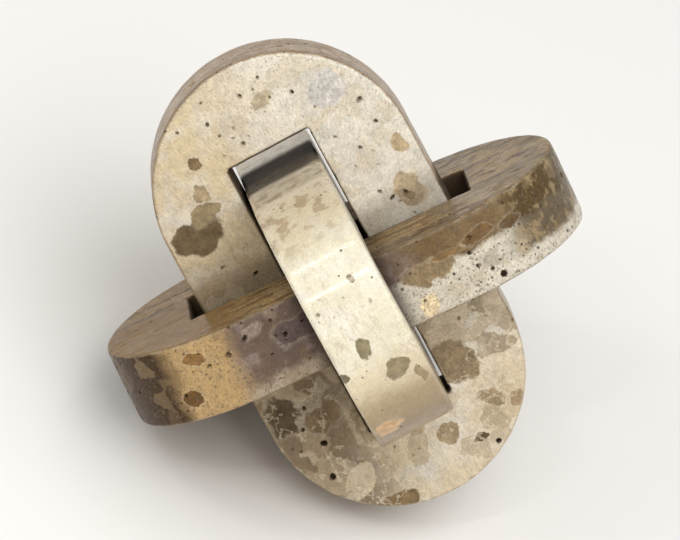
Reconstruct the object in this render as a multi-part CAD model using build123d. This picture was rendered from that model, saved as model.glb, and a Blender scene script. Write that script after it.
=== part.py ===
from build123d import *
import copy
import os

# Decorative knot of three equal stone rings. Each ring is a flat plate with round ends and a
# long slot, and each one passes through the slot of the next, in three square planes.
# Millimetres, +Z up. The knot stands on one end of each ring, and the origin is on the floor
# under the middle of its box.

# The ring, all three alike.
ring_length = 120.0
ring_width = 66.0
ring_thickness = 20.0
slot_length = 74.0
slot_width = 21.8
slot_corner_radius = 1.0
arris_radius = 0.8

# The cross ring is closed round its neighbours in two halves, bonded at mid length.
glue_thickness = 0.2

# Where gravity leaves the two loose rings, from the middle of the upright ring, and the degrees
# that they lean. Each has three numbers, along and about the length of the level ring, the
# cross ring and the upright ring, in that order.
level_rest = Vector(0.6, 0.2, -2.4)
level_lean = Rotation(1.8, 3.0, 0)
cross_rest = Vector(-0.2, -2.4, -2.4)
cross_lean = Rotation(1.8, 0, 2.2)

# How near the loose rings come to the end of a slot.
end_clearance = 1.0

LEVEL_AXIS = Vector(1, 0, 0)
CROSS_AXIS = Vector(0, 1, 0)
UPRIGHT_AXIS = Vector(0, 0, 1)


def ring_plane(centre, lean, long_axis, normal):
    """The plane of a ring, with X along its length and Z through its thickness."""
    along = (lean * Pos(long_axis)).position
    through = (lean * Pos(normal)).position
    return Plane(origin=centre, x_dir=along, z_dir=through)


upright_plane = ring_plane(Vector(0, 0, 0), Rotation(0, 0, 0), UPRIGHT_AXIS, CROSS_AXIS)
level_plane = ring_plane(level_rest, level_lean, LEVEL_AXIS, UPRIGHT_AXIS)
cross_plane = ring_plane(cross_rest, cross_lean, CROSS_AXIS, LEVEL_AXIS)


def ring_blank():
    """One ring, lying flat, centred on the origin, with eased edges."""
    with BuildPart() as ring:
        with BuildSketch(Plane.XY.offset(-ring_thickness / 2)):
            SlotOverall(ring_length, ring_width)
            with BuildSketch(mode=Mode.SUBTRACT):
                RectangleRounded(slot_length, slot_width, slot_corner_radius)
        extrude(amount=ring_thickness)
        rims = ring.faces().filter_by(Axis.Z).edges()
        fillet(rims, arris_radius)
    return ring.part


def lowest_point(plane, up):
    """The point of a ring that is furthest down, for a given direction of up."""
    down = up * -1
    along = plane.x_dir
    through = plane.z_dir
    across = down - through * down.dot(through)
    end_centre = (ring_length - ring_width) / 2 * (1 if down.dot(along) > 0 else -1)
    side = (ring_thickness / 2 - arris_radius) * (1 if down.dot(through) > 0 else -1)
    rim = across.normalized() * (ring_width / 2 - arris_radius)
    return plane.origin + along * end_centre + through * side + rim + down * arris_radius


def standing_up():
    """The direction of up when one end of each ring is on the floor."""
    up = Vector(1, -1, 1).normalized()
    for _ in range(12):
        a, b, c = [lowest_point(p, up) for p in (upright_plane, level_plane, cross_plane)]
        floor_normal = (b - a).cross(c - a).normalized()
        up = floor_normal if floor_normal.dot(up) > 0 else floor_normal * -1
    return up


up = standing_up()
forward = (CROSS_AXIS - up * CROSS_AXIS.dot(up)).normalized()
floor_height = lowest_point(upright_plane, up).dot(up)
floor_plane = Plane(origin=up * floor_height, x_dir=forward.cross(up), z_dir=up)


def half_of(ring, side):
    """The half of a flat ring on one side of its middle, short of the glue."""
    reach = ring_length
    gap = glue_thickness / 2
    keeper = Pos(side * (reach / 2 + gap), 0, 0) * Box(reach, reach, reach)
    return ring & keeper


def glue_film(side):
    """The film of glue in one bar of the cross ring, set in from the bar's edges."""
    bar_width = (ring_width - slot_width) / 2
    middle = side * (slot_width + bar_width) / 2
    film = Box(glue_thickness, bar_width - 2 * arris_radius, ring_thickness - 2 * arris_radius)
    return Pos(0, middle, 0) * film


blank = ring_blank()
pieces = {
    "upright_ring": (upright_plane, blank),
    "level_ring": (level_plane, blank),
    "cross_ring_front_half": (cross_plane, half_of(blank, -1)),
    "cross_ring_back_half": (cross_plane, half_of(blank, 1)),
    "cross_ring_upper_glue": (cross_plane, glue_film(1)),
    "cross_ring_lower_glue": (cross_plane, glue_film(-1)),
}

to_floor = floor_plane.location.inverse()
standing = {name: to_floor * plane.location * flat for name, (plane, flat) in pieces.items()}

box = Compound(children=[copy.copy(shape) for shape in standing.values()]).bounding_box()
to_origin = Pos(-box.center().X, -box.center().Y, -box.min.Z)

os.makedirs("parts", exist_ok=True)
for name, shape in standing.items():
    placed = Part(to_origin * shape)
    placed.label = name
    export_step(placed, f"parts/{name}.step")


def floor_point(vector):
    """A point of the knot, where it is when it stands, in metres."""
    placed = to_origin * to_floor * Pos(vector)
    return [round(v / 1000, 6) for v in placed.position]


def floor_direction(vector):
    """A direction of the knot, turned to how it stands."""
    tip = to_floor * Pos(vector)
    tail = to_floor * Pos(0, 0, 0)
    return [round(v, 6) for v in tip.position - tail.position]


def slide_range(moving, other, axis):
    """How far a ring slides each way along its length before it meets a slot's end, in mm."""
    play = (slot_length - ring_width) / 2 - end_clearance
    offset = (moving.origin - other.origin).dot(axis)
    return [round(-play - offset, 3), round(play - offset, 3)]


level_range = slide_range(level_plane, upright_plane, level_plane.x_dir)
cross_range = slide_range(cross_plane, level_plane, cross_plane.x_dir)
void_middle = Vector(0, level_rest.Y, cross_rest.Z)
print("box", box.size)
print("level ring slides", level_range, "mm along", floor_direction(level_plane.x_dir))
print("cross ring slides", cross_range, "mm along", floor_direction(cross_plane.x_dir))
print("middle of the void", floor_point(void_middle))
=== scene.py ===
import math
import random

import bpy
import numpy as np
from mathutils import Euler, Matrix, Vector


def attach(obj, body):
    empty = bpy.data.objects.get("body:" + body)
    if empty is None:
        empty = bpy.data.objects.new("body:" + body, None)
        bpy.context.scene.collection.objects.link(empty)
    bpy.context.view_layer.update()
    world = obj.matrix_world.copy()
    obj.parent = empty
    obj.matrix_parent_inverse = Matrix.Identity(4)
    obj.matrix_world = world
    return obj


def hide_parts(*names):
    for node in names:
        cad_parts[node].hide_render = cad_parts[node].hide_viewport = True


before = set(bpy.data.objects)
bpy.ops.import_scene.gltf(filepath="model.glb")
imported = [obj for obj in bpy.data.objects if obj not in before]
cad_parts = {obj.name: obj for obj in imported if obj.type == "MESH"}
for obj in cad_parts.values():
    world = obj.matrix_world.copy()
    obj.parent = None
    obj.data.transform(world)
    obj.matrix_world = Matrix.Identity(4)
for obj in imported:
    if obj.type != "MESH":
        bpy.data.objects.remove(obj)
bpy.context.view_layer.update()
mm = 0.001


# small helpers for working by hand

def deselectAll():
    if bpy.context.object and bpy.context.object.mode != "OBJECT":
        bpy.ops.object.mode_set(mode="OBJECT")
    bpy.ops.object.select_all(action="DESELECT")


def makeActive(piece):
    deselectAll()
    piece.select_set(True)
    bpy.context.view_layer.objects.active = piece


def newPrimitive(operator, name, **settings):
    deselectAll()
    operator(**settings)
    piece = bpy.context.object
    piece.name = name
    piece.data.name = name
    return piece


def selectVertices(piece, wanted):
    # leaves the piece in edit mode with only the wanted vertices selected
    makeActive(piece)
    bpy.ops.object.mode_set(mode="EDIT")
    bpy.ops.mesh.select_mode(type="VERT")
    bpy.ops.mesh.select_all(action="DESELECT")
    bpy.ops.object.mode_set(mode="OBJECT")
    for vertex in piece.data.vertices:
        vertex.select = wanted(vertex.co)
    bpy.ops.object.mode_set(mode="EDIT")


def applyModifier(piece, kind, **settings):
    makeActive(piece)
    modifier = piece.modifiers.new(kind.lower(), kind)
    for key, value in settings.items():
        setattr(modifier, key, value)
    bpy.ops.object.modifier_apply(modifier=modifier.name)


def cutWith(piece, cutter, solver):
    applyModifier(piece, "BOOLEAN", operation="DIFFERENCE", object=cutter, solver=solver)
    bpy.data.objects.remove(cutter)


def paint(red, green, blue):
    # a colour given in 0 to 255, as the linear colour that a socket takes
    parts = []
    for value in (red, green, blue):
        share = value / 255
        parts.append(share / 12.92 if share <= 0.04045 else ((share + 0.055) / 1.055) ** 2.4)
    return (*parts, 1.0)


# where each ring is, read from its CAD nodes

def ringPlace(nodeNames, alongHint, faceHint):
    # the middle and axes of a ring: X along its length, Y across, Z through its thickness
    weights, middles, spread = [], [], np.zeros((3, 3))
    for nodeName in nodeNames:
        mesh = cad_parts[nodeName].data
        mesh.calc_loop_triangles()
        points = np.array([v.co for v in mesh.vertices])
        corners = points[np.array([t.vertices for t in mesh.loop_triangles])]
        sides = np.cross(corners[:, 1] - corners[:, 0], corners[:, 2] - corners[:, 0])
        areas = np.linalg.norm(sides, axis=1) / 2
        centres = corners.mean(axis=1)
        weights.append(areas)
        middles.append(centres)
        spread += np.einsum("t,tia,tib->ab", areas / 12, corners, corners)
        spread += np.einsum("t,ta,tb->ab", areas * 0.75, centres, centres)
    weights = np.concatenate(weights)
    middles = np.concatenate(middles)
    middle = (middles * weights[:, None]).sum(axis=0) / weights.sum()
    spread = spread / weights.sum() - np.outer(middle, middle)
    axes = np.linalg.eigh(spread)[1]
    along = Vector(axes[:, 2])
    face = Vector(axes[:, 0])
    along *= math.copysign(1, along.dot(Vector(alongHint)))
    face *= math.copysign(1, face.dot(Vector(faceHint)))
    across = face.cross(along)
    turn = Matrix((along, across, face)).transposed()
    return Matrix.Translation(Vector(middle)) @ turn.to_4x4()


uprightPlace = ringPlace(["upright_ring"], (0, 0, 1), (0, -1, 0))
levelPlace = ringPlace(["level_ring"], (1, 0, 0), (0, 0, 1))
crossPlace = ringPlace(
    ["cross_ring_front_half", "cross_ring_back_half"], (0, 1, 0), (1, 0, 0)
)
print("ring places read from the frame")


# the shape that the three rings share, in metres

ringShape = {
    "length": 120 * mm,
    "width": 66 * mm,
    "thickness": 20 * mm,
    "slotLength": 74 * mm,
    "slotWidth": 21.8 * mm,
    "arris": 0.85 * mm,
    "roundSteps": 144,
    "cornerDrill": 0.8 * mm,   # the slot's corners were drilled before it was sawn
    "drillSet": 0.55 * mm,
    "grain": 0.5 * mm,         # size of the fine mesh
    "wearDepth": 0.2 * mm,
    "wearContrast": 1.8,
    "arrisFade": 1.1 * mm,     # how fast the wear dies away from an arris
    "smoothAngle": 38,         # degrees, above which an edge stays sharp
}

pitShape = {
    "gap": 1.6 * mm,           # stone left between one pit and the next
    "edgeRoom": 2.2 * mm,      # how far a cluster's middle keeps from the edges
    "leastRoom": 1.5 * mm,
    "spread": 2.6 * mm,        # how far the pits of one cluster lie apart
    "largestCluster": 5,
    "smallBias": 2.2,          # above 1, small pits outnumber large ones
    "dent": (0.78, 1.15),      # how uneven a pit's wall is
}

# the painted shade where the rings cross, and where pits and walls are coloured
shadeAndPitShape = {
    "slotSkin": 0.9 * mm,      # the painted shade on a slot's walls reaches this deep
    "slotFade": 0.5 * mm,
    "faceLine": 0.3 * mm,      # nearer to a face than this, the walls get no painted shade
    "wallLine": 0.6 * mm,
    "wallReach": 14 * mm,      # from mid length, on the outer walls
    "wallFade": 4 * mm,
    "faceFade": 5 * mm,
    "faceStrength": 0.5,
    "strength": 0.88,
    "pitStart": 0.28 * mm,     # a dip deeper than this is coloured as a pit
    "pitFade": 0.45 * mm,
    "wallBlend": 0.5 * mm,
}
capMiddle = (ringShape["length"] - ringShape["width"]) / 2


def outlineDistance(x, y):
    # how far inside the round-ended outline a point is
    past = np.maximum(np.abs(x) - capMiddle, 0)
    return ringShape["width"] / 2 - np.hypot(past, y)


def slotDistance(x, y):
    # how far outside the slot a point is
    pastEnd = np.abs(x) - ringShape["slotLength"] / 2
    pastSide = np.abs(y) - ringShape["slotWidth"] / 2
    outside = np.hypot(np.maximum(pastEnd, 0), np.maximum(pastSide, 0))
    return np.where((pastEnd < 0) & (pastSide < 0), np.maximum(pastEnd, pastSide), outside)


def localPoints(piece):
    points = np.empty(len(piece.data.vertices) * 3)
    piece.data.vertices.foreach_get("co", points)
    return points.reshape(-1, 3)


def arrisCloseness(points):
    # 1 on an arris, falling to 0 within a few millimetres
    faceDepth = ringShape["thickness"] / 2 - np.abs(points[:, 2])
    wallDepth = np.minimum(
        outlineDistance(points[:, 0], points[:, 1]), slotDistance(points[:, 0], points[:, 1])
    )
    away = np.clip(faceDepth, 0, None) + np.clip(wallDepth, 0, None)
    return np.exp(-away / ringShape["arrisFade"])


def flatRing(name):
    shape = ringShape
    ring = newPrimitive(
        bpy.ops.mesh.primitive_cylinder_add, name, vertices=shape["roundSteps"],
        radius=shape["width"] / 2, depth=shape["thickness"],
        rotation=(0, 0, math.pi / shape["roundSteps"]),
    )
    bpy.ops.object.transform_apply(location=True, rotation=True, scale=True)
    for side in (1, -1):
        selectVertices(ring, lambda co: co.x * side > 0)
        bpy.ops.transform.translate(value=(side * capMiddle, 0, 0))
    bpy.ops.object.mode_set(mode="OBJECT")
    slot = newPrimitive(
        bpy.ops.mesh.primitive_cube_add, name + "Slot", size=1,
        scale=(shape["slotLength"], shape["slotWidth"], shape["thickness"] * 2),
    )
    bpy.ops.object.transform_apply(location=True, rotation=True, scale=True)
    cutWith(ring, slot, "EXACT")
    applyModifier(
        ring, "BEVEL", width=shape["arris"], segments=3, limit_method="ANGLE",
        angle_limit=math.radians(40),
    )
    for endSide in (1, -1):
        for barSide in (1, -1):
            drill = newPrimitive(
                bpy.ops.mesh.primitive_cylinder_add, name + "Drill", vertices=24,
                radius=shape["cornerDrill"], depth=shape["thickness"] * 2,
                location=(
                    endSide * (shape["slotLength"] / 2 - shape["drillSet"]),
                    barSide * (shape["slotWidth"] / 2 - shape["drillSet"]), 0,
                ),
            )
            bpy.ops.object.transform_apply(location=True, rotation=True, scale=True)
            cutWith(ring, drill, "EXACT")
    applyModifier(ring, "REMESH", mode="VOXEL", voxel_size=shape["grain"])
    return ring


def wearArrises(ring, size, offset):
    # takes a little off the arrises, more in some places than in others
    group = ring.vertex_groups.new(name="arris")
    closeness = arrisCloseness(localPoints(ring))
    for index in np.nonzero(closeness > 0.08)[0]:
        group.add([int(index)], float(min(closeness[index] * 1.3, 1)), "REPLACE")
    cloud = bpy.data.textures.new(ring.name + "Wear", "CLOUDS")
    cloud.noise_scale = size
    cloud.noise_depth = 3
    cloud.contrast = ringShape["wearContrast"]
    anchor = bpy.data.objects.new("wearAnchor", None)
    bpy.context.scene.collection.objects.link(anchor)
    anchor.location = offset
    bpy.context.view_layer.update()
    applyModifier(
        ring, "DISPLACE", texture=cloud, vertex_group="arris", mid_level=0,
        strength=-ringShape["wearDepth"], texture_coords="OBJECT",
        texture_coords_object=anchor,
    )
    bpy.data.objects.remove(anchor)
    ring.vertex_groups.clear()


def surfacePoint(dice, where):
    # a random point on a face or on the outer wall, clear of the arrises
    shape = ringShape
    edgeRoom = pitShape["edgeRoom"]
    while True:
        if where == "wall":
            reach = 2 * capMiddle + math.pi * shape["width"] / 2
            along = dice.uniform(0, 2 * reach)
            side = 1 if along < reach else -1
            along = along % reach
            z = dice.uniform(-1, 1) * (shape["thickness"] / 2 - edgeRoom)
            if along < 2 * capMiddle:
                return Vector((side * (along - capMiddle), side * shape["width"] / 2, z))
            angle = (along - 2 * capMiddle) / (shape["width"] / 2)
            radius = shape["width"] / 2
            x = side * (capMiddle + radius * math.sin(angle))
            return Vector((x, side * radius * math.cos(angle), z))
        x = dice.uniform(-1, 1) * shape["length"] / 2
        y = dice.uniform(-1, 1) * shape["width"] / 2
        if outlineDistance(x, y) > edgeRoom and slotDistance(x, y) > edgeRoom:
            z = shape["thickness"] / 2 * (1 if where == "front" else -1)
            return Vector((x, y, z))


def pitMesh(dice, place, radius):
    # one irregular hollow, squashed and turned at random
    pit = bpy.data.objects["pitSeed"].copy()
    pit.data = pit.data.copy()
    bpy.context.scene.collection.objects.link(pit)
    turn = Euler([dice.uniform(0, math.tau) for _ in range(3)]).to_matrix().to_4x4()
    sizes = Vector((dice.uniform(0.7, 1.0), dice.uniform(0.8, 1.35), dice.uniform(0.7, 1.1)))
    stretch = Matrix.Diagonal((*(sizes * radius), 1))
    pit.data.transform(Matrix.Translation(place) @ turn @ stretch)
    for vertex in pit.data.vertices:
        vertex.co = place + (vertex.co - place) * dice.uniform(*pitShape["dent"])
    return pit


def cutPits(ring, seed, placed, scattered):
    # placed pits are (x, y, z, radius) in millimetres; scattered ones are drawn by a seeded loop
    dice = random.Random(seed)
    spots = [(Vector(spot[:3]) * mm, spot[3] * mm) for spot in placed]
    for where, count, smallest, largest in scattered:
        made = 0
        while made < count:
            centre = surfacePoint(dice, where)
            for _ in range(dice.randint(1, pitShape["largestCluster"])):
                nudge = Vector([dice.gauss(0, pitShape["spread"]) for _ in range(3)])
                spot = centre + nudge
                spot.z = centre.z if where != "wall" else spot.z
                if where == "wall":
                    spot = snapToWall(spot)
                inside = min(
                    float(outlineDistance(spot.x, spot.y)) if where != "wall" else 1,
                    float(slotDistance(spot.x, spot.y)),
                    1 if where != "wall" else ringShape["thickness"] / 2 - abs(spot.z),
                )
                clear = all((spot - other).length > pitShape["gap"] + r for other, r in spots)
                if inside > pitShape["leastRoom"] and clear:
                    share = dice.random() ** pitShape["smallBias"]
                    size = smallest + (largest - smallest) * share
                    spots.append((spot, size * mm))
                    made += 1
    seedBall = newPrimitive(
        bpy.ops.mesh.primitive_ico_sphere_add, "pitSeed", subdivisions=2, radius=1
    )
    pits = [pitMesh(dice, place, radius) for place, radius in spots]
    bpy.data.objects.remove(seedBall)
    deselectAll()
    for pit in pits:
        pit.select_set(True)
    bpy.context.view_layer.objects.active = pits[0]
    bpy.ops.object.join()
    cutWith(ring, bpy.context.object, "MANIFOLD")


def snapToWall(spot):
    # moves a point straight out to the ring's outer wall
    middle = Vector((max(min(spot.x, capMiddle), -capMiddle), 0, spot.z))
    out = spot - middle
    return middle + out.normalized() * ringShape["width"] / 2


def markSurface(piece, shadeReach):
    # what the stone's finish reads: arrises, walls, the depth of pits and the painted shade where
    # the rings cross
    points = localPoints(piece)
    x, y, z = points[:, 0], points[:, 1], points[:, 2]
    faceDepth = ringShape["thickness"] / 2 - np.abs(z)
    wallDepth = np.minimum(outlineDistance(x, y), slotDistance(x, y))
    paintedShade = shadeAndPitShape
    inSlot = np.clip((paintedShade["slotSkin"] - slotDistance(x, y)) / paintedShade["slotFade"], 0, 1)
    inSlot = inSlot * (faceDepth > paintedShade["faceLine"])
    onWall = (wallDepth < paintedShade["wallLine"]) & (faceDepth > paintedShade["faceLine"])
    nearOnWall = np.clip((paintedShade["wallReach"] - np.abs(x)) / paintedShade["wallFade"], 0, 1)
    nearOnFace = np.clip((shadeReach - np.abs(x)) / paintedShade["faceFade"], 0, 1)
    sunk = np.minimum(faceDepth, wallDepth) - paintedShade["pitStart"]
    marks = {
        "arris": arrisCloseness(points),
        "wall": np.clip((faceDepth - wallDepth) / paintedShade["wallBlend"] + 0.5, 0, 1),
        # painted shade where the rings cross and shade each other: slot walls, outer walls round
        # mid length, and more lightly the faces
        "crossingShade": np.maximum(
            inSlot, np.where(onWall, nearOnWall, nearOnFace * paintedShade["faceStrength"])
        ),
        "depth": np.clip(sunk / paintedShade["pitFade"], 0, 1),
    }
    for name, values in marks.items():
        attribute = piece.data.attributes.new(name, "FLOAT", "POINT")
        attribute.data.foreach_set("value", values.astype(np.float32))


def finishPiece(piece, place, body, nodeNames, material, shadeReach):
    markSurface(piece, shadeReach)
    makeActive(piece)
    piece.matrix_world = place
    bpy.ops.object.transform_apply(location=True, rotation=True, scale=True)
    bpy.ops.object.shade_smooth_by_angle(angle=math.radians(ringShape["smoothAngle"]))
    piece.data.materials.clear()
    piece.data.materials.append(material)
    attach(piece, body)
    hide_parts(*nodeNames)
    print(piece.name, len(piece.data.polygons), "faces")


# node helpers

def feed(tree, socket, value):
    # a socket is linked, and a plain value is set
    if isinstance(value, bpy.types.NodeSocket):
        tree.links.new(value, socket)
    else:
        socket.default_value = value


def addNode(tree, kind, links=None, **settings):
    # links names an input, or gives its number, and what feeds it: a socket or a plain value
    node = tree.nodes.new(kind)
    for key, value in settings.items():
        setattr(node, key, value)
    for key, value in (links or {}).items():
        feed(tree, node.inputs[key], value)
    return node


def maths(tree, operation, *values, clamp=False):
    links = dict(enumerate(values))
    return addNode(tree, "ShaderNodeMath", links, operation=operation, use_clamp=clamp).outputs[0]


def fade(tree, value, start, end):
    # 0 at start and 1 at end, eased at both
    links = {"Value": value, "From Min": start, "From Max": end}
    return addNode(
        tree, "ShaderNodeMapRange", links, interpolation_type="SMOOTHSTEP"
    ).outputs["Result"]


def blendColour(tree, factor, first, second):
    node = addNode(tree, "ShaderNodeMix", data_type="RGBA", blend_type="MIX")
    for key, value in (("Factor_Float", factor), ("A_Color", first), ("B_Color", second)):
        feed(tree, next(s for s in node.inputs if s.identifier == key), value)
    return next(s for s in node.outputs if s.identifier == "Result_Color")


def noise(tree, vector, scale, detail=3.0, roughness=0.55):
    links = {"Vector": vector, "Scale": scale, "Detail": detail, "Roughness": roughness}
    return addNode(tree, "ShaderNodeTexNoise", links)


def startGroup(name, inputs, outputs):
    group = bpy.data.node_groups.new(name, "ShaderNodeTree")
    for label, kind, value in inputs:
        socket = group.interface.new_socket(label, in_out="INPUT", socket_type="NodeSocket" + kind)
        if value is not None:
            socket.default_value = value
    for label, kind in outputs:
        group.interface.new_socket(label, in_out="OUTPUT", socket_type="NodeSocket" + kind)
    given = group.nodes.new("NodeGroupInput").outputs
    result = group.nodes.new("NodeGroupOutput").inputs
    return group, given, result


def useGroup(tree, group, **values):
    node = tree.nodes.new("ShaderNodeGroup")
    node.node_tree = group
    for key, value in values.items():
        feed(tree, node.inputs[key], value)
    return node.outputs


# effects shared by the three stones; every Place is in millimetres on the ring

effectTones = {
    "seam": (226, 214, 192),
    "speck": (112, 100, 88),
    # pale arris wear, strengthened as a painted highlight
    "arrisWearAndHighlight": (222, 210, 184),
    # the painted shade where the rings cross
    "paintedShade": (58, 46, 34),
    "pinhole": (74, 58, 40),
    "pit": (52, 38, 24),
}


def makeWarp():
    # pushes a place about, so that edges drawn from it come out ragged
    group, given, result = startGroup(
        "stoneWarp",
        [("Place", "Vector", None), ("Amount", "Float", 8.0), ("Scale", "Float", 0.15)],
        [("Place", "Vector")],
    )
    cloud = noise(group, given["Place"], given["Scale"], 4.0, 0.6)
    centred = addNode(
        group, "ShaderNodeVectorMath", {0: cloud.outputs["Color"], 1: (0.5, 0.5, 0.5)},
        operation="SUBTRACT",
    ).outputs[0]
    push = addNode(
        group, "ShaderNodeVectorMath", {0: centred, "Scale": given["Amount"]}, operation="SCALE"
    ).outputs[0]
    moved = addNode(group, "ShaderNodeVectorMath", {0: given["Place"], 1: push}).outputs[0]
    group.links.new(moved, result["Place"])
    return group


def makeClast():
    # paints one fragment of older stone into the colour, with a lighter seam round it
    group, given, result = startGroup(
        "stoneClast",
        [("Color", "Color", None), ("Place", "Vector", None), ("Centre", "Vector", None),
         ("Half", "Vector", None), ("Tone", "Color", None), ("Mottle", "Float", 0.5)],
        [("Color", "Color")],
    )
    away = addNode(
        group, "ShaderNodeVectorMath", {0: given["Place"], 1: given["Centre"]},
        operation="SUBTRACT",
    ).outputs[0]
    shares = addNode(
        group, "ShaderNodeVectorMath", {0: away, 1: given["Half"]}, operation="DIVIDE"
    ).outputs[0]
    radius = addNode(
        group, "ShaderNodeVectorMath", {0: shares}, operation="LENGTH"
    ).outputs["Value"]
    body = fade(group, radius, 1.07, 0.9)
    seam = maths(group, "MULTIPLY", fade(group, radius, 1.3, 1.05), 0.14)
    light = maths(group, "MULTIPLY_ADD", given["Mottle"], 0.5, 0.75)
    tone = addNode(
        group, "ShaderNodeVectorMath", {0: given["Tone"], "Scale": light}, operation="SCALE"
    ).outputs[0]
    pale = blendColour(group, seam, given["Color"], paint(*effectTones["seam"]))
    painted = blendColour(group, body, pale, tone)
    group.links.new(painted, result["Color"])
    return group


def makeRubble():
    # a field of small fragments: soft-edged cells of a cracked pattern, each with its own tone
    group, given, result = startGroup(
        "stoneRubble",
        [("Place", "Vector", None), ("Cell", "Float", 8.0), ("Keep", "Float", 0.4)],
        [("Mask", "Float"), ("Tone", "Float")],
    )
    density = maths(group, "DIVIDE", 1.0, given["Cell"])
    links = {"Vector": given["Place"], "Scale": density, "Randomness": 1.0, "Smoothness": 0.09}
    cells = addNode(group, "ShaderNodeTexVoronoi", links, feature="SMOOTH_F1")
    shades = addNode(group, "ShaderNodeSeparateColor", {"Color": cells.outputs["Color"]}).outputs
    spare = maths(group, "SUBTRACT", given["Keep"], shades["Red"])
    group.links.new(fade(group, spare, -0.04, 0.05), result["Mask"])
    group.links.new(shades["Green"], result["Tone"])
    return group


def makeGrain():
    # the fine light and dark grain of the stone, at two sizes, and scattered dark specks
    group, given, result = startGroup(
        "stoneGrain",
        [("Color", "Color", None), ("Place", "Vector", None), ("Amount", "Float", 0.3),
         ("Specks", "Float", 0.2)],
        [("Color", "Color")],
    )
    coarse = noise(group, given["Place"], 0.42, 4.0, 0.7).outputs["Fac"]
    fine = noise(group, given["Place"], 1.7, 2.0, 0.6).outputs["Fac"]
    both = maths(group, "SUBTRACT", maths(group, "ADD", coarse, fine), 1.0)
    light = maths(group, "MULTIPLY_ADD", both, given["Amount"], 1.0)
    grained = addNode(
        group, "ShaderNodeVectorMath", {0: given["Color"], "Scale": light}, operation="SCALE"
    ).outputs[0]
    dots = noise(group, given["Place"], 1.3, 2.0, 0.6).outputs["Fac"]
    speck = maths(group, "MULTIPLY", fade(group, dots, 0.56, 0.7), given["Specks"])
    specked = blendColour(group, speck, grained, paint(*effectTones["speck"]))
    group.links.new(specked, result["Color"])
    return group


def makePores():
    # fine round pinholes, each with its own size, only some cells having one
    group, given, result = startGroup(
        "stonePores",
        [("Place", "Vector", None), ("Spacing", "Float", 1.6), ("Share", "Float", 0.4),
         ("Size", "Float", 0.22)],
        [("Mask", "Float")],
    )
    density = maths(group, "DIVIDE", 1.0, given["Spacing"])
    links = {"Vector": given["Place"], "Scale": density, "Randomness": 1.0}
    cells = addNode(group, "ShaderNodeTexVoronoi", links, feature="F1")
    shades = addNode(group, "ShaderNodeSeparateColor", {"Color": cells.outputs["Color"]}).outputs
    grown = maths(group, "MULTIPLY", shades["Blue"], given["Size"])
    edge = maths(group, "MULTIPLY_ADD", given["Size"], 0.35, grown)
    hole = fade(group, maths(group, "SUBTRACT", edge, cells.outputs["Distance"]), 0.0, 0.09)
    kept = maths(group, "LESS_THAN", shades["Red"], given["Share"])
    group.links.new(maths(group, "MULTIPLY", hole, kept), result["Mask"])
    return group


def makeStrata():
    # long streaks laid down along the slab
    group, given, result = startGroup(
        "stoneStrata",
        [("Place", "Vector", None), ("Stretch", "Vector", (0.02, 0.5, 0.4))],
        [("Value", "Float"), ("Line", "Float")],
    )
    drawn = addNode(
        group, "ShaderNodeVectorMath", {0: given["Place"], 1: given["Stretch"]},
        operation="MULTIPLY",
    ).outputs[0]
    bands = noise(group, drawn, 1.0, 5.0, 0.6).outputs["Fac"]
    ridge = maths(group, "ABSOLUTE", maths(group, "SUBTRACT", bands, 0.52))
    group.links.new(fade(group, bands, 0.33, 0.66), result["Value"])
    group.links.new(fade(group, ridge, 0.022, 0.0), result["Line"])
    return group


def makeVeins():
    # thin pale healed cracks
    group, given, result = startGroup(
        "stoneVeins",
        [("Place", "Vector", None), ("Scale", "Float", 0.06), ("Width", "Float", 0.01)],
        [("Mask", "Float")],
    )
    cloud = noise(group, given["Place"], given["Scale"], 5.0, 0.62).outputs["Fac"]
    ridge = maths(group, "ABSOLUTE", maths(group, "SUBTRACT", cloud, 0.5))
    share = maths(group, "DIVIDE", ridge, given["Width"])
    group.links.new(fade(group, share, 1.0, 0.2), result["Mask"])
    return group


def makeWeather():
    # what all the stones share at the end: dark pinholes and pits, pale worn arrises strengthened
    # as a painted highlight, and painted shade where the rings cross
    group, given, result = startGroup(
        "stoneWeather",
        [("Color", "Color", None), ("Pores", "Float", 0.0), ("Depth", "Float", 0.0),
         ("Arris", "Float", 0.0), ("Cloud", "Float", 0.5), ("Grime", "Float", 0.0)],
        [("Color", "Color"), ("Roughness", "Float"), ("Polish", "Float"), ("Height", "Float")],
    )
    # pale worn arrises, strengthened as a painted highlight along the edges
    chalk = maths(group, "MULTIPLY", fade(group, given["Arris"], 0.4, 0.75), given["Cloud"])
    wearAndHighlight = maths(group, "MULTIPLY", chalk, 0.8)
    pale = blendColour(group, wearAndHighlight, given["Color"], paint(*effectTones["arrisWearAndHighlight"]))
    # painted shade where the rings cross
    shaded = blendColour(group, given["Grime"], pale, paint(*effectTones["paintedShade"]))
    holed = blendColour(
        group, maths(group, "MULTIPLY", given["Pores"], 0.8), shaded, paint(*effectTones["pinhole"])
    )
    pitted = blendColour(group, given["Depth"], holed, paint(*effectTones["pit"]))
    group.links.new(pitted, result["Color"])
    holes = maths(group, "MAXIMUM", given["Pores"], given["Depth"])
    worn = maths(group, "MULTIPLY_ADD", given["Cloud"], 0.18, 0.24)
    rough = maths(group, "MULTIPLY_ADD", holes, 0.45, worn)
    dulled = maths(group, "MULTIPLY_ADD", given["Grime"], 0.75, rough)
    group.links.new(dulled, result["Roughness"])
    spoiled = maths(group, "MAXIMUM", holes, given["Grime"])
    group.links.new(maths(group, "SUBTRACT", 1.0, spoiled, clamp=True), result["Polish"])
    group.links.new(maths(group, "SUBTRACT", 1.0, given["Pores"]), result["Height"])
    return group


effects = {
    "warp": makeWarp(),
    "clast": makeClast(),
    "rubble": makeRubble(),
    "grain": makeGrain(),
    "pores": makePores(),
    "strata": makeStrata(),
    "veins": makeVeins(),
    "weather": makeWeather(),
}
print("stone effects built")


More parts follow.
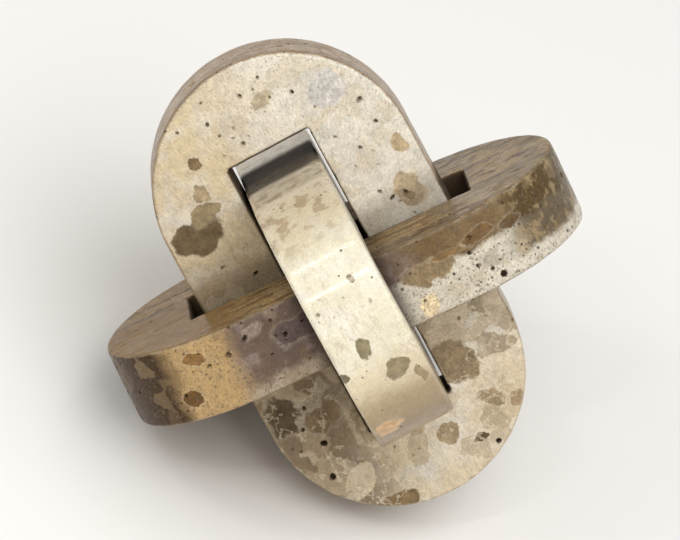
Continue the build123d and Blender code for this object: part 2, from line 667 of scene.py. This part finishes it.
class Stone:
    # one stone's material while it is being mixed: its tree, places and colour so far
    def __init__(self, name, place, warpAmount):
        self.material = bpy.data.materials.new(name)
        self.material.use_nodes = True
        self.tree = self.material.node_tree
        self.tree.nodes.clear()
        here = addNode(self.tree, "ShaderNodeTexCoord").outputs["Object"]
        onRing = addNode(self.tree, "ShaderNodeMapping", {"Vector": here}, vector_type="TEXTURE")
        onRing.inputs["Location"].default_value = place.to_translation()
        onRing.inputs["Rotation"].default_value = place.to_euler()
        onRing.inputs["Scale"].default_value = (mm, mm, mm)
        self.place = onRing.outputs[0]
        self.ragged = useGroup(
            self.tree, effects["warp"], Place=self.place, Amount=warpAmount
        )["Place"]
        self.axes = addNode(self.tree, "ShaderNodeSeparateXYZ", {0: self.ragged}).outputs
        fine = noise(self.tree, self.place, 0.55, 5.0, 0.65)
        self.mottle = fade(self.tree, fine.outputs["Fac"], 0.28, 0.72)
        self.colour = None

    def attribute(self, name):
        node = addNode(self.tree, "ShaderNodeAttribute", attribute_name=name)
        return node.outputs["Fac"]

    def patches(self, scale, start, end, offset=(0, 0, 0)):
        moved = addNode(self.tree, "ShaderNodeVectorMath", {0: self.place, 1: offset}).outputs[0]
        return fade(self.tree, noise(self.tree, moved, scale, 4.0, 0.55).outputs["Fac"], start, end)

    def zone(self, axis, start, end):
        # 0 at start, 1 at end, measured along the ring in millimetres, with a ragged edge
        return fade(self.tree, self.axes[axis], start, end)

    def both(self, *masks):
        mask = masks[0]
        for other in masks[1:]:
            mask = maths(self.tree, "MULTIPLY", mask, other)
        return mask

    def tint(self, mask, colour, strength=1.0):
        if strength != 1.0:
            mask = maths(self.tree, "MULTIPLY", mask, strength)
        self.colour = blendColour(self.tree, mask, self.colour, colour)

    def clasts(self, pieces):
        for centre, half, tone in pieces:
            self.colour = useGroup(
                self.tree, effects["clast"], Color=self.colour, Place=self.ragged,
                Centre=centre, Half=half, Tone=paint(*tone), Mottle=self.mottle,
            )["Color"]

    def rubble(self, cell, keep, dark, light, where=None, strength=1.0):
        found = useGroup(self.tree, effects["rubble"], Place=self.ragged, Cell=cell, Keep=keep)
        shade = blendColour(self.tree, found["Tone"], paint(*dark), paint(*light))
        mask = found["Mask"] if where is None else self.both(found["Mask"], where)
        self.tint(mask, shade, strength)

    def grain(self, amount, specks):
        self.colour = useGroup(
            self.tree, effects["grain"], Color=self.colour, Place=self.place, Amount=amount,
            Specks=specks,
        )["Color"]

    def finish(self, pores, coat, shine, bumpDepth):
        # painted shade where the rings cross: it darkens the colour and dulls the polish
        paintedShade = maths(self.tree, "MULTIPLY", self.attribute("crossingShade"), shadeAndPitShape["strength"])
        weather = useGroup(
            self.tree, effects["weather"], Color=self.colour, Pores=pores,
            Depth=self.attribute("depth"), Arris=self.attribute("arris"),
            Cloud=self.patches(0.35, 0.3, 0.7, (40, 10, 5)), Grime=paintedShade,
        )
        bump = addNode(
            self.tree, "ShaderNodeBump",
            {"Height": weather["Height"], "Strength": 0.6, "Distance": bumpDepth},
        )
        shader = addNode(
            self.tree, "ShaderNodeBsdfPrincipled",
            {"Base Color": weather["Color"], "Roughness": weather["Roughness"],
             "Coat Weight": maths(self.tree, "MULTIPLY", weather["Polish"], coat),
             "Coat Roughness": 0.12, "IOR": 1.5, "Specular IOR Level": shine,
             "Normal": bump.outputs["Normal"]},
        )
        out = addNode(self.tree, "ShaderNodeOutputMaterial")
        self.tree.links.new(shader.outputs["BSDF"], out.inputs["Surface"])
        return self.material


# the upright ring: cream and grey-white, with brown fragments

uprightStone = {
    "seed": 11,
    "shadeReach": 16 * mm,   # how far from mid length the faces get painted shade
    "ivory": (224, 215, 198),
    "cream": (205, 186, 152),
    "grey": (207, 199, 185),
    "tan": (214, 195, 163),
    "taupe": (106, 85, 58),
    "wallBrown": (112, 82, 48),
    "wallPink": (166, 134, 94),
    "shell": (216, 208, 190),
    "straw": (210, 192, 156),
    "midBrown": (146, 126, 94),
    "vein": (230, 216, 190),
    "lowRubble": ((140, 120, 90), (214, 196, 164)),
    "paleRubble": ((186, 168, 138), (214, 200, 176)),
    "clasts": [
        # centre and half size in mm, then tone
        ((26.5, 25, 10), (4.6, 6.6, 5), (112, 94, 66)),
        ((30.5, 21, 10), (2.4, 3.4, 4), (150, 132, 100)),
        ((42.5, 17.2, 10), (1.5, 1.7, 3), (128, 106, 76)),
        ((48.5, -4.3, 10), (2.4, 3.0, 3), (186, 170, 142)),
        ((35, 19.2, 10), (2.2, 2.0, 3), (168, 148, 116)),
        ((44, -19.5, 10), (4.6, 4.8, 4), (203, 196, 186)),
        ((24, -29, 10), (2.4, 2.2, 3), (190, 168, 134)),
        ((12, -25.5, 10), (4.6, 4.0, 4), (190, 170, 138)),
        ((11.5, -25, 10), (1.5, 1.5, 2), (150, 130, 98)),
        ((-23.5, 28, 10), (5.4, 4.6, 4), (104, 86, 62)),
        ((-31.5, -15, 10), (6.0, 6.2, 5), (150, 130, 100)),
        ((-43, -19, 10), (3.0, 2.8, 3), (156, 136, 106)),
        ((-46.5, -6, 10), (2.6, 2.8, 3), (166, 146, 114)),
        ((-51, -12, 10), (1.4, 1.5, 2), (98, 78, 52)),
        ((-46, -25, 10), (2.0, 2.4, 3), (164, 142, 110)),
        ((-56, 13.5, 10), (2.4, 6.0, 4), (128, 106, 74)),
        ((-34, 10, 10), (6.0, 4.6, 5), (170, 150, 118)),
        ((-28, 19, 10), (3.4, 5.0, 5), (140, 118, 88)),
        ((-40, 1, 10), (3.6, 3.0, 3), (182, 162, 130)),
    ],
    "pits": [
        (52, -0.1, 10, 0.75), (47, -11.6, 10, 0.8), (41, -14.7, 10, 0.6), (37.5, -25.2, 10, 0.9),
        (31, -26.2, 10, 0.7), (32, -15.8, 10, 0.6), (15, -18.9, 10, 0.75), (16.5, 23.4, 10, 0.7),
        (11.5, 17.1, 10, 0.8), (-34, 22.4, 10, 1.15), (-24, 22.6, 10, 0.7), (-28.5, 25.5, 10, 0.8),
        (-42.5, 24.5, 10, 1.1), (-54, -15.5, 10, 0.9), (54, -6, 10, 0.6), (55, 9, 10, 0.6),
        (-49, -27, 10, 1.2), (-53, -21, 10, 0.7),
    ],
    "scatter": [("front", 26, 0.45, 0.8), ("back", 46, 0.45, 1.2), ("wall", 34, 0.45, 1.1)],
}


def mixUprightStone():
    look = uprightStone
    stone = Stone("uprightTravertine", uprightPlace, 7.0)
    tree = stone.tree
    warm = stone.zone("Y", -12, 14)
    stone.colour = blendColour(tree, warm, paint(*look["ivory"]), paint(*look["cream"]))
    stone.tint(stone.patches(0.09, 0.45, 0.65, (9, 0, 0)), paint(*look["grey"]), 0.8)
    stone.tint(stone.patches(0.16, 0.52, 0.68, (0, 30, 0)), paint(*look["shell"]), 0.6)
    stone.tint(stone.patches(0.13, 0.52, 0.66, (0, 60, 9)), paint(*look["straw"]), 0.4)
    low = stone.zone("X", -2, -20)
    lowPatches = stone.patches(0.07, 0.35, 0.6, (0, 0, 50))
    stone.tint(stone.both(low, lowPatches), paint(*look["tan"]), 0.85)
    shadeSide = stone.both(low, stone.zone("Y", 4, 20))
    stone.tint(shadeSide, paint(*look["taupe"]), 0.8)
    middle = stone.both(stone.zone("X", 24, 12), stone.zone("X", -30, -16), stone.zone("Y", 4, 14))
    stone.tint(middle, paint(*look["midBrown"]), 0.7)
    stone.rubble(7.0, 0.5, *look["lowRubble"], where=low, strength=0.75)
    stone.rubble(4.5, 0.2, *look["paleRubble"], strength=0.45)
    stone.clasts(look["clasts"])
    veins = useGroup(tree, effects["veins"], Place=stone.ragged, Scale=0.05, Width=0.012)["Mask"]
    stone.tint(stone.both(veins, low), paint(*look["vein"]), 0.45)
    streaks = useGroup(tree, effects["strata"], Place=stone.ragged, Stretch=(0.03, 0.03, 0.42))
    wallTone = blendColour(
        tree, streaks["Value"], paint(*look["wallBrown"]), paint(*look["wallPink"])
    )
    wall = stone.attribute("wall")
    stone.tint(wall, wallTone, 0.45)
    stone.tint(stone.both(wall, stone.zone("X", -30, -4)), wallTone, 0.85)
    upper = stone.both(stone.zone("X", 18, 34), stone.zone("Y", 20, 6))
    stone.grain(0.75, maths(tree, "MULTIPLY_ADD", upper, 0.3, 0.14))
    share = maths(tree, "MULTIPLY_ADD", upper, 0.4, 0.15)
    pores = useGroup(tree, effects["pores"], Place=stone.place, Share=share, Size=0.2)["Mask"]
    return stone.finish(pores, coat=0.05, shine=0.2, bumpDepth=0.25 * mm)


# the level ring: brown strata, grey-purple and chalky white

levelStone = {
    "seed": 23,
    "shadeReach": 16 * mm,
    "umber": (92, 70, 44),
    "sand": (162, 133, 92),
    "gold": (190, 158, 110),
    "purple": (119, 100, 89),
    "chalk": (208, 199, 181),
    # painted reflection of dark surroundings on the ends
    "darkEndReflection": (52, 30, 6),
    "paleLine": (204, 174, 124),
    "darkLine": (58, 40, 22),
    "dun": (128, 110, 84),
    "leftTop": (128, 94, 48),
    "wall": (112, 90, 60),
    "mauve": (158, 140, 130),
    "crust": (196, 178, 154),
    "farEndReflection": (84, 66, 38),
    "farStreak": (168, 146, 108),
    "rubble": ((104, 84, 56), (178, 156, 120)),
    "wallRubble": ((110, 88, 60), (186, 160, 118)),
    "clasts": [
        ((20.6, -33, 1.1), (7.0, 4, 3.0), (146, 126, 96)),
        ((17.1, -33, -6.0), (2.6, 4, 3.2), (230, 210, 172)),
        ((-44, -29, -4), (2.4, 3, 2.2), (112, 80, 42)),
        ((-40, -31, 5), (3.4, 3, 1.8), (140, 104, 60)),
        ((36, -33, 4.2), (5.0, 3, 1.4), (112, 86, 54)),
        ((44, -30, 3.0), (3.4, 4, 1.8), (100, 78, 50)),
        ((26, -33, 3.6), (4.5, 3, 1.0), (132, 106, 70)),
        ((-14, -33, 2.0), (6.0, 3, 3.0), (110, 92, 88)),
        ((-24, -33, 6.0), (2.6, 3, 2.0), (158, 142, 128)),
        ((-6, -33, -5.0), (3.0, 3, 2.0), (150, 132, 116)),
    ],
    "pits": [
        (-31.6, -33, 3.5, 0.95), (-26.4, -33, 5.5, 1.0), (-37, -31.4, 2.6, 0.75),
        (-18.9, -33, 6.9, 0.6), (-8.4, -33, -6.1, 0.8), (36.7, -31.6, -7.4, 1.15),
        (32.8, -32.5, 4.5, 0.8), (31.2, -32.7, 1.1, 0.65), (32, -32.6, -2.7, 0.7),
        (34.7, -32.1, -5.0, 0.8), (29.6, -32.9, -7.1, 0.6), (38, -31.2, -1.0, 0.6),
        (-12, -33, 3.4, 0.6), (-17, -33, 2.2, 0.7), (-22, -33, -1.0, 0.6),
    ],
    "scatter": [("front", 20, 0.45, 1.0), ("back", 34, 0.45, 1.1), ("wall", 56, 0.4, 0.95)],
}


def mixLevelStone():
    look = levelStone
    stone = Stone("levelTravertine", levelPlace, 6.0)
    tree = stone.tree
    streaks = useGroup(tree, effects["strata"], Place=stone.ragged, Stretch=(0.018, 0.26, 0.5))
    stone.colour = blendColour(tree, streaks["Value"], paint(*look["umber"]), paint(*look["sand"]))
    stone.tint(streaks["Line"], paint(*look["paleLine"]), 0.8)
    second = useGroup(tree, effects["strata"], Place=stone.place, Stretch=(0.03, 0.36, 0.5))
    stone.tint(second["Line"], paint(*look["darkLine"]), 0.75)
    stone.tint(stone.patches(0.06, 0.5, 0.62, (0, 20, 0)), paint(*look["dun"]), 0.6)
    stone.rubble(7.0, 0.3, *look["rubble"], strength=0.4)
    leftTop = stone.both(stone.zone("X", -18, -34), stone.zone("Y", 14, 2))
    stone.tint(leftTop, paint(*look["leftTop"]), 0.65)
    wall = stone.attribute("wall")
    stone.tint(wall, paint(*look["wall"]), 0.8)
    gold = stone.both(wall, stone.zone("X", -25, -31))
    stone.tint(gold, paint(*look["gold"]), 0.9)
    purple = stone.both(wall, stone.zone("X", -34, -27), stone.zone("X", 22, 10))
    stone.tint(purple, paint(*look["purple"]), 0.95)
    mauve = stone.both(purple, stone.patches(0.2, 0.5, 0.62, (7, 0, 0)))
    stone.tint(mauve, paint(*look["mauve"]), 0.6)
    crust = stone.both(purple, stone.zone("Z", -4.5, -7.5))
    stone.tint(crust, paint(*look["crust"]), 0.75)
    right = stone.zone("X", 4, 12)
    chalk = stone.both(wall, right, stone.zone("Z", 2.6, 0.8))
    stone.tint(chalk, paint(*look["chalk"]), 0.95)
    # painted reflection of dark surroundings on the wall at the negative end
    stone.tint(stone.both(wall, stone.zone("X", -44, -49)), paint(*look["darkEndReflection"]), 0.95)
    # painted reflection of dark surroundings on the wall at the positive end, except near its lower
    # edge, broken by paler streaks
    farEndReflection = stone.both(wall, stone.zone("X", 38, 48), stone.zone("Z", -7, -5))
    stone.tint(farEndReflection, paint(*look["farEndReflection"]), 0.9)
    streaked = stone.both(farEndReflection, stone.patches(0.3, 0.5, 0.62, (3, 0, 0)))
    stone.tint(streaked, paint(*look["farStreak"]), 0.6)
    stone.rubble(4.0, 0.2, *look["wallRubble"], where=wall, strength=0.3)
    stone.clasts(look["clasts"])
    stone.grain(0.85, maths(tree, "MULTIPLY_ADD", wall, 0.35, 0.5))
    share = maths(tree, "MULTIPLY_ADD", chalk, 0.3, 0.2)
    pores = useGroup(tree, effects["pores"], Place=stone.place, Share=share, Size=0.24)["Mask"]
    return stone.finish(pores, coat=0.05, shine=0.12, bumpDepth=0.25 * mm)


# the cross ring: the ivory strap over the middle

crossStone = {
    "seed": 37,
    "shadeReach": 25 * mm,
    "ivory": (238, 230, 211),
    "moss": (226, 217, 188),
    "tan": (226, 207, 170),
    "milk": (226, 219, 202),
    "highTan": (190, 168, 130),
    "highBrown": (146, 116, 78),
    "lowTan": (156, 130, 90),
    "lowBrown": (122, 94, 54),
    "line": (176, 152, 118),
    "backRubble": ((156, 136, 104), (206, 190, 158)),
    "clasts": [
        ((-59.9, -2.1, -1.8), (4, 2.8, 2.0), (142, 130, 98)),
        ((-58.5, -10.2, 3.1), (4, 2.2, 3.0), (150, 134, 102)),
        ((-59.4, -6.2, -9.4), (4, 1.8, 2.0), (124, 110, 80)),
        ((-50, -25.0, -5.4), (5, 3.0, 3.4), (204, 164, 116)),
        ((-55, -14, 7.5), (4, 2.8, 1.4), (160, 138, 102)),
        ((-58.5, 14.5, 4.0), (4, 0.9, 1.1), (150, 134, 100)),
    ],
    "pits": [
        (-59.8, 5.4, -4.7, 0.75), (-53.1, 20.4, 4.5, 0.55), (-57.6, -16, -1.0, 0.7),
        (-59.2, 9.0, 2.5, 0.45), (-59.6, -9.0, -3.5, 0.45),
    ],
    "scatter": [("front", 26, 0.45, 1.1), ("back", 30, 0.45, 1.1), ("wall", 24, 0.4, 0.8)],
}


def mixCrossStone():
    look = crossStone
    stone = Stone("crossTravertine", crossPlace, 6.0)
    tree = stone.tree
    stone.colour = blendColour(
        tree, stone.patches(0.06, 0.4, 0.65), paint(*look["ivory"]), paint(*look["moss"])
    )
    stone.tint(stone.patches(0.14, 0.5, 0.66, (12, 0, 0)), paint(*look["milk"]), 0.6)
    low = stone.zone("Y", -3, -10)
    lowPatches = stone.patches(0.09, 0.2, 0.45, (0, 14, 0))
    stone.tint(stone.both(low, lowPatches), paint(*look["tan"]), 0.7)
    high = stone.zone("Y", 20, 31)
    stone.tint(high, paint(*look["highTan"]), 0.6)
    stone.tint(stone.both(high, stone.patches(0.25, 0.5, 0.6)), paint(*look["highBrown"]), 0.6)
    stone.tint(stone.zone("Y", -8, -20), paint(*look["lowTan"]), 0.85)
    stone.tint(stone.zone("Y", -19, -29), paint(*look["lowBrown"]), 0.7)
    streaks = useGroup(tree, effects["strata"], Place=stone.ragged, Stretch=(0.05, 0.05, 0.3))
    stone.tint(stone.both(streaks["Line"], stone.patches(0.1, 0.4, 0.6)), paint(*look["line"]), 0.4)
    back = stone.zone("X", -26, -10)
    stone.rubble(8.0, 0.34, *look["backRubble"], where=back, strength=0.7)
    stone.clasts(look["clasts"])
    stone.grain(0.42, 0.1)
    pores = useGroup(tree, effects["pores"], Place=stone.place, Share=0.16, Size=0.18)["Mask"]
    return stone.finish(pores, coat=0.45, shine=0.3, bumpDepth=0.2 * mm)


def makeRing(name, look, wearSize, wearOffset):
    ring = flatRing(name)
    wearArrises(ring, wearSize, wearOffset)
    cutPits(ring, look["seed"], look["pits"], look["scatter"])
    return ring


upright = makeRing(
    "uprightStoneRing", uprightStone, wearSize=4 * mm, wearOffset=(0.3, 0, 0)
)
finishPiece(
    upright, uprightPlace, "upright_ring", ["upright_ring"],
    mixUprightStone(), uprightStone["shadeReach"],
)

level = makeRing("levelStoneRing", levelStone, wearSize=5 * mm, wearOffset=(0, 0.4, 0))
finishPiece(
    level, levelPlace, "level_ring", ["level_ring"], mixLevelStone(),
    levelStone["shadeReach"],
)


# the cross ring is sawn through both bars and bonded, so it is two pieces

seam = {"gap": 0.2 * mm}


def sawHalf(ring, name, side):
    half = ring.copy()
    half.data = ring.data.copy()
    half.name = name
    half.data.name = name
    bpy.context.scene.collection.objects.link(half)
    makeActive(half)
    bpy.ops.object.mode_set(mode="EDIT")
    bpy.ops.mesh.select_all(action="SELECT")
    bpy.ops.mesh.bisect(
        plane_co=(side * seam["gap"] / 2, 0, 0), plane_no=(side, 0, 0), use_fill=True,
        clear_inner=True,
    )
    bpy.ops.object.mode_set(mode="OBJECT")
    return half


wholeCross = makeRing("crossStoneRing", crossStone, wearSize=4 * mm, wearOffset=(0, 0, 0.5))
crossMaterial = mixCrossStone()
for halfName, side, nodeName in (
    ("crossStoneFront", -1, "cross_ring_front_half"),
    ("crossStoneBack", 1, "cross_ring_back_half"),
):
    half = sawHalf(wholeCross, halfName, side)
    finishPiece(
        half, crossPlace, "cross_ring", [nodeName], crossMaterial,
        crossStone["shadeReach"],
    )
bpy.data.objects.remove(wholeCross)


# the glue in the seam: the CAD films keep their shape and get an epoxy finish

epoxyLook = {
    "body": (206, 190, 150),
    "amber": (178, 146, 92),
    "roughness": 0.35,
    "cloudScale": 420.0,
}


def mixEpoxy():
    material = bpy.data.materials.new("seamEpoxy")
    material.use_nodes = True
    tree = material.node_tree
    tree.nodes.clear()
    here = addNode(tree, "ShaderNodeTexCoord").outputs["Object"]
    cloud = fade(tree, noise(tree, here, epoxyLook["cloudScale"], 4.0).outputs["Fac"], 0.35, 0.65)
    colour = blendColour(tree, cloud, paint(*epoxyLook["body"]), paint(*epoxyLook["amber"]))
    shader = addNode(
        tree, "ShaderNodeBsdfPrincipled",
        {"Base Color": colour, "Roughness": epoxyLook["roughness"]},
    )
    out = addNode(tree, "ShaderNodeOutputMaterial")
    tree.links.new(shader.outputs["BSDF"], out.inputs["Surface"])
    return material


epoxy = mixEpoxy()
for nodeName in ("cross_ring_upper_glue", "cross_ring_lower_glue"):
    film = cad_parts[nodeName]
    film.data.materials.clear()
    film.data.materials.append(epoxy)
print("seam glue painted")


# floor, lights and camera

studio = {
    "floorSize": 6.0,
    "floorTone": (240, 238, 234),
    "floorRoughness": 0.9,
    "stripDistance": 0.7,
    "stripSize": (0.16, 0.016),
    "world": 0.5,
    "view": "Standard",
    "exposure": 0.0,
}

lamps = [
    # name, direction to the lamp, distance, size along and across, watts
    ("softTop", (0.25, -0.3, 0.92), 1.0, (0.9, 0.9), 7.2),
    ("softLeft", (-0.9, -0.2, 0.6), 1.1, (0.6, 0.6), 1.6),
]

# long narrow lamps, each mirrored by the strap's crown: name, degrees round its bend, watts
strips = [("stripHigh", 37.0, 0.3), ("stripLow", 24.0, 0.3)]

cameraView = {
    "azimuth": 8.9,       # degrees from +Y towards +X
    "elevation": 44.8,
    "roll": 23.4,
    "distance": 1.618,
    "lens": 350,
    "sensorWidth": 36,
    "clipStart": 0.01,
    "aim": (0, 0.0021, 0.05),
}


def viewAxes():
    view = cameraView
    azimuth, elevation = math.radians(view["azimuth"]), math.radians(view["elevation"])
    forward = Vector((
        math.sin(azimuth) * math.cos(elevation),
        math.cos(azimuth) * math.cos(elevation), -math.sin(elevation),
    ))
    level = forward.cross(Vector((0, 0, 1))).normalized()
    lift = level.cross(forward)
    roll = math.radians(view["roll"])
    right = level * math.cos(roll) + lift * math.sin(roll)
    return right, right.cross(forward), -forward


def makeFloor():
    floor = newPrimitive(
        bpy.ops.mesh.primitive_plane_add, "studioFloor", size=studio["floorSize"]
    )
    material = bpy.data.materials.new("studioPaper")
    material.use_nodes = True
    shader = material.node_tree.nodes["Principled BSDF"]
    shader.inputs["Base Color"].default_value = paint(*studio["floorTone"])
    shader.inputs["Roughness"].default_value = studio["floorRoughness"]
    floor.data.materials.append(material)


def makeLamp(name, towards, distance, size, watts):
    light = bpy.data.lights.new(name, "AREA")
    light.shape = "RECTANGLE"
    light.size, light.size_y = size
    light.energy = watts
    lamp = bpy.data.objects.new(name, light)
    bpy.context.scene.collection.objects.link(lamp)
    aim = Vector(cameraView["aim"])
    out = Vector(towards).normalized()
    lengthwise = crossPlace.to_3x3() @ Vector((0, 0, 1))   # along the strap's width
    across = out.cross(lengthwise).normalized()
    turn = Matrix((across.cross(out), across, out)).transposed()
    lamp.matrix_world = Matrix.Translation(aim + out * distance) @ turn.to_4x4()


def makeStrip(name, angle, watts):
    angle = math.radians(angle)
    outward = crossPlace.to_3x3() @ Vector((-math.cos(angle), math.sin(angle), 0))
    toCamera = viewAxes()[2]
    mirrored = outward * outward.dot(toCamera) * 2 - toCamera
    makeLamp(name, mirrored, studio["stripDistance"], studio["stripSize"], watts)


def makeCamera():
    view = cameraView
    data = bpy.data.cameras.new("viewCamera")
    data.lens = view["lens"]
    data.sensor_width = view["sensorWidth"]
    data.clip_start = view["clipStart"]
    camera = bpy.data.objects.new("viewCamera", data)
    bpy.context.scene.collection.objects.link(camera)
    right, top, back = viewAxes()
    turn = Matrix((right, top, back)).transposed()
    spot = Vector(view["aim"]) + back * view["distance"]
    camera.matrix_world = Matrix.Translation(spot) @ turn.to_4x4()
    bpy.context.scene.camera = camera


makeFloor()
for lamp in lamps:
    makeLamp(*lamp)
for strip in strips:
    makeStrip(*strip)
makeCamera()
world = bpy.data.worlds.new("studioWorld")
bpy.context.scene.world = world
world.use_nodes = True
world.node_tree.nodes["Background"].inputs["Color"].default_value = (1, 1, 1, 1)
world.node_tree.nodes["Background"].inputs["Strength"].default_value = studio["world"]
bpy.context.scene.view_settings.view_transform = studio["view"]
bpy.context.scene.view_settings.exposure = studio["exposure"]
print("studio set")
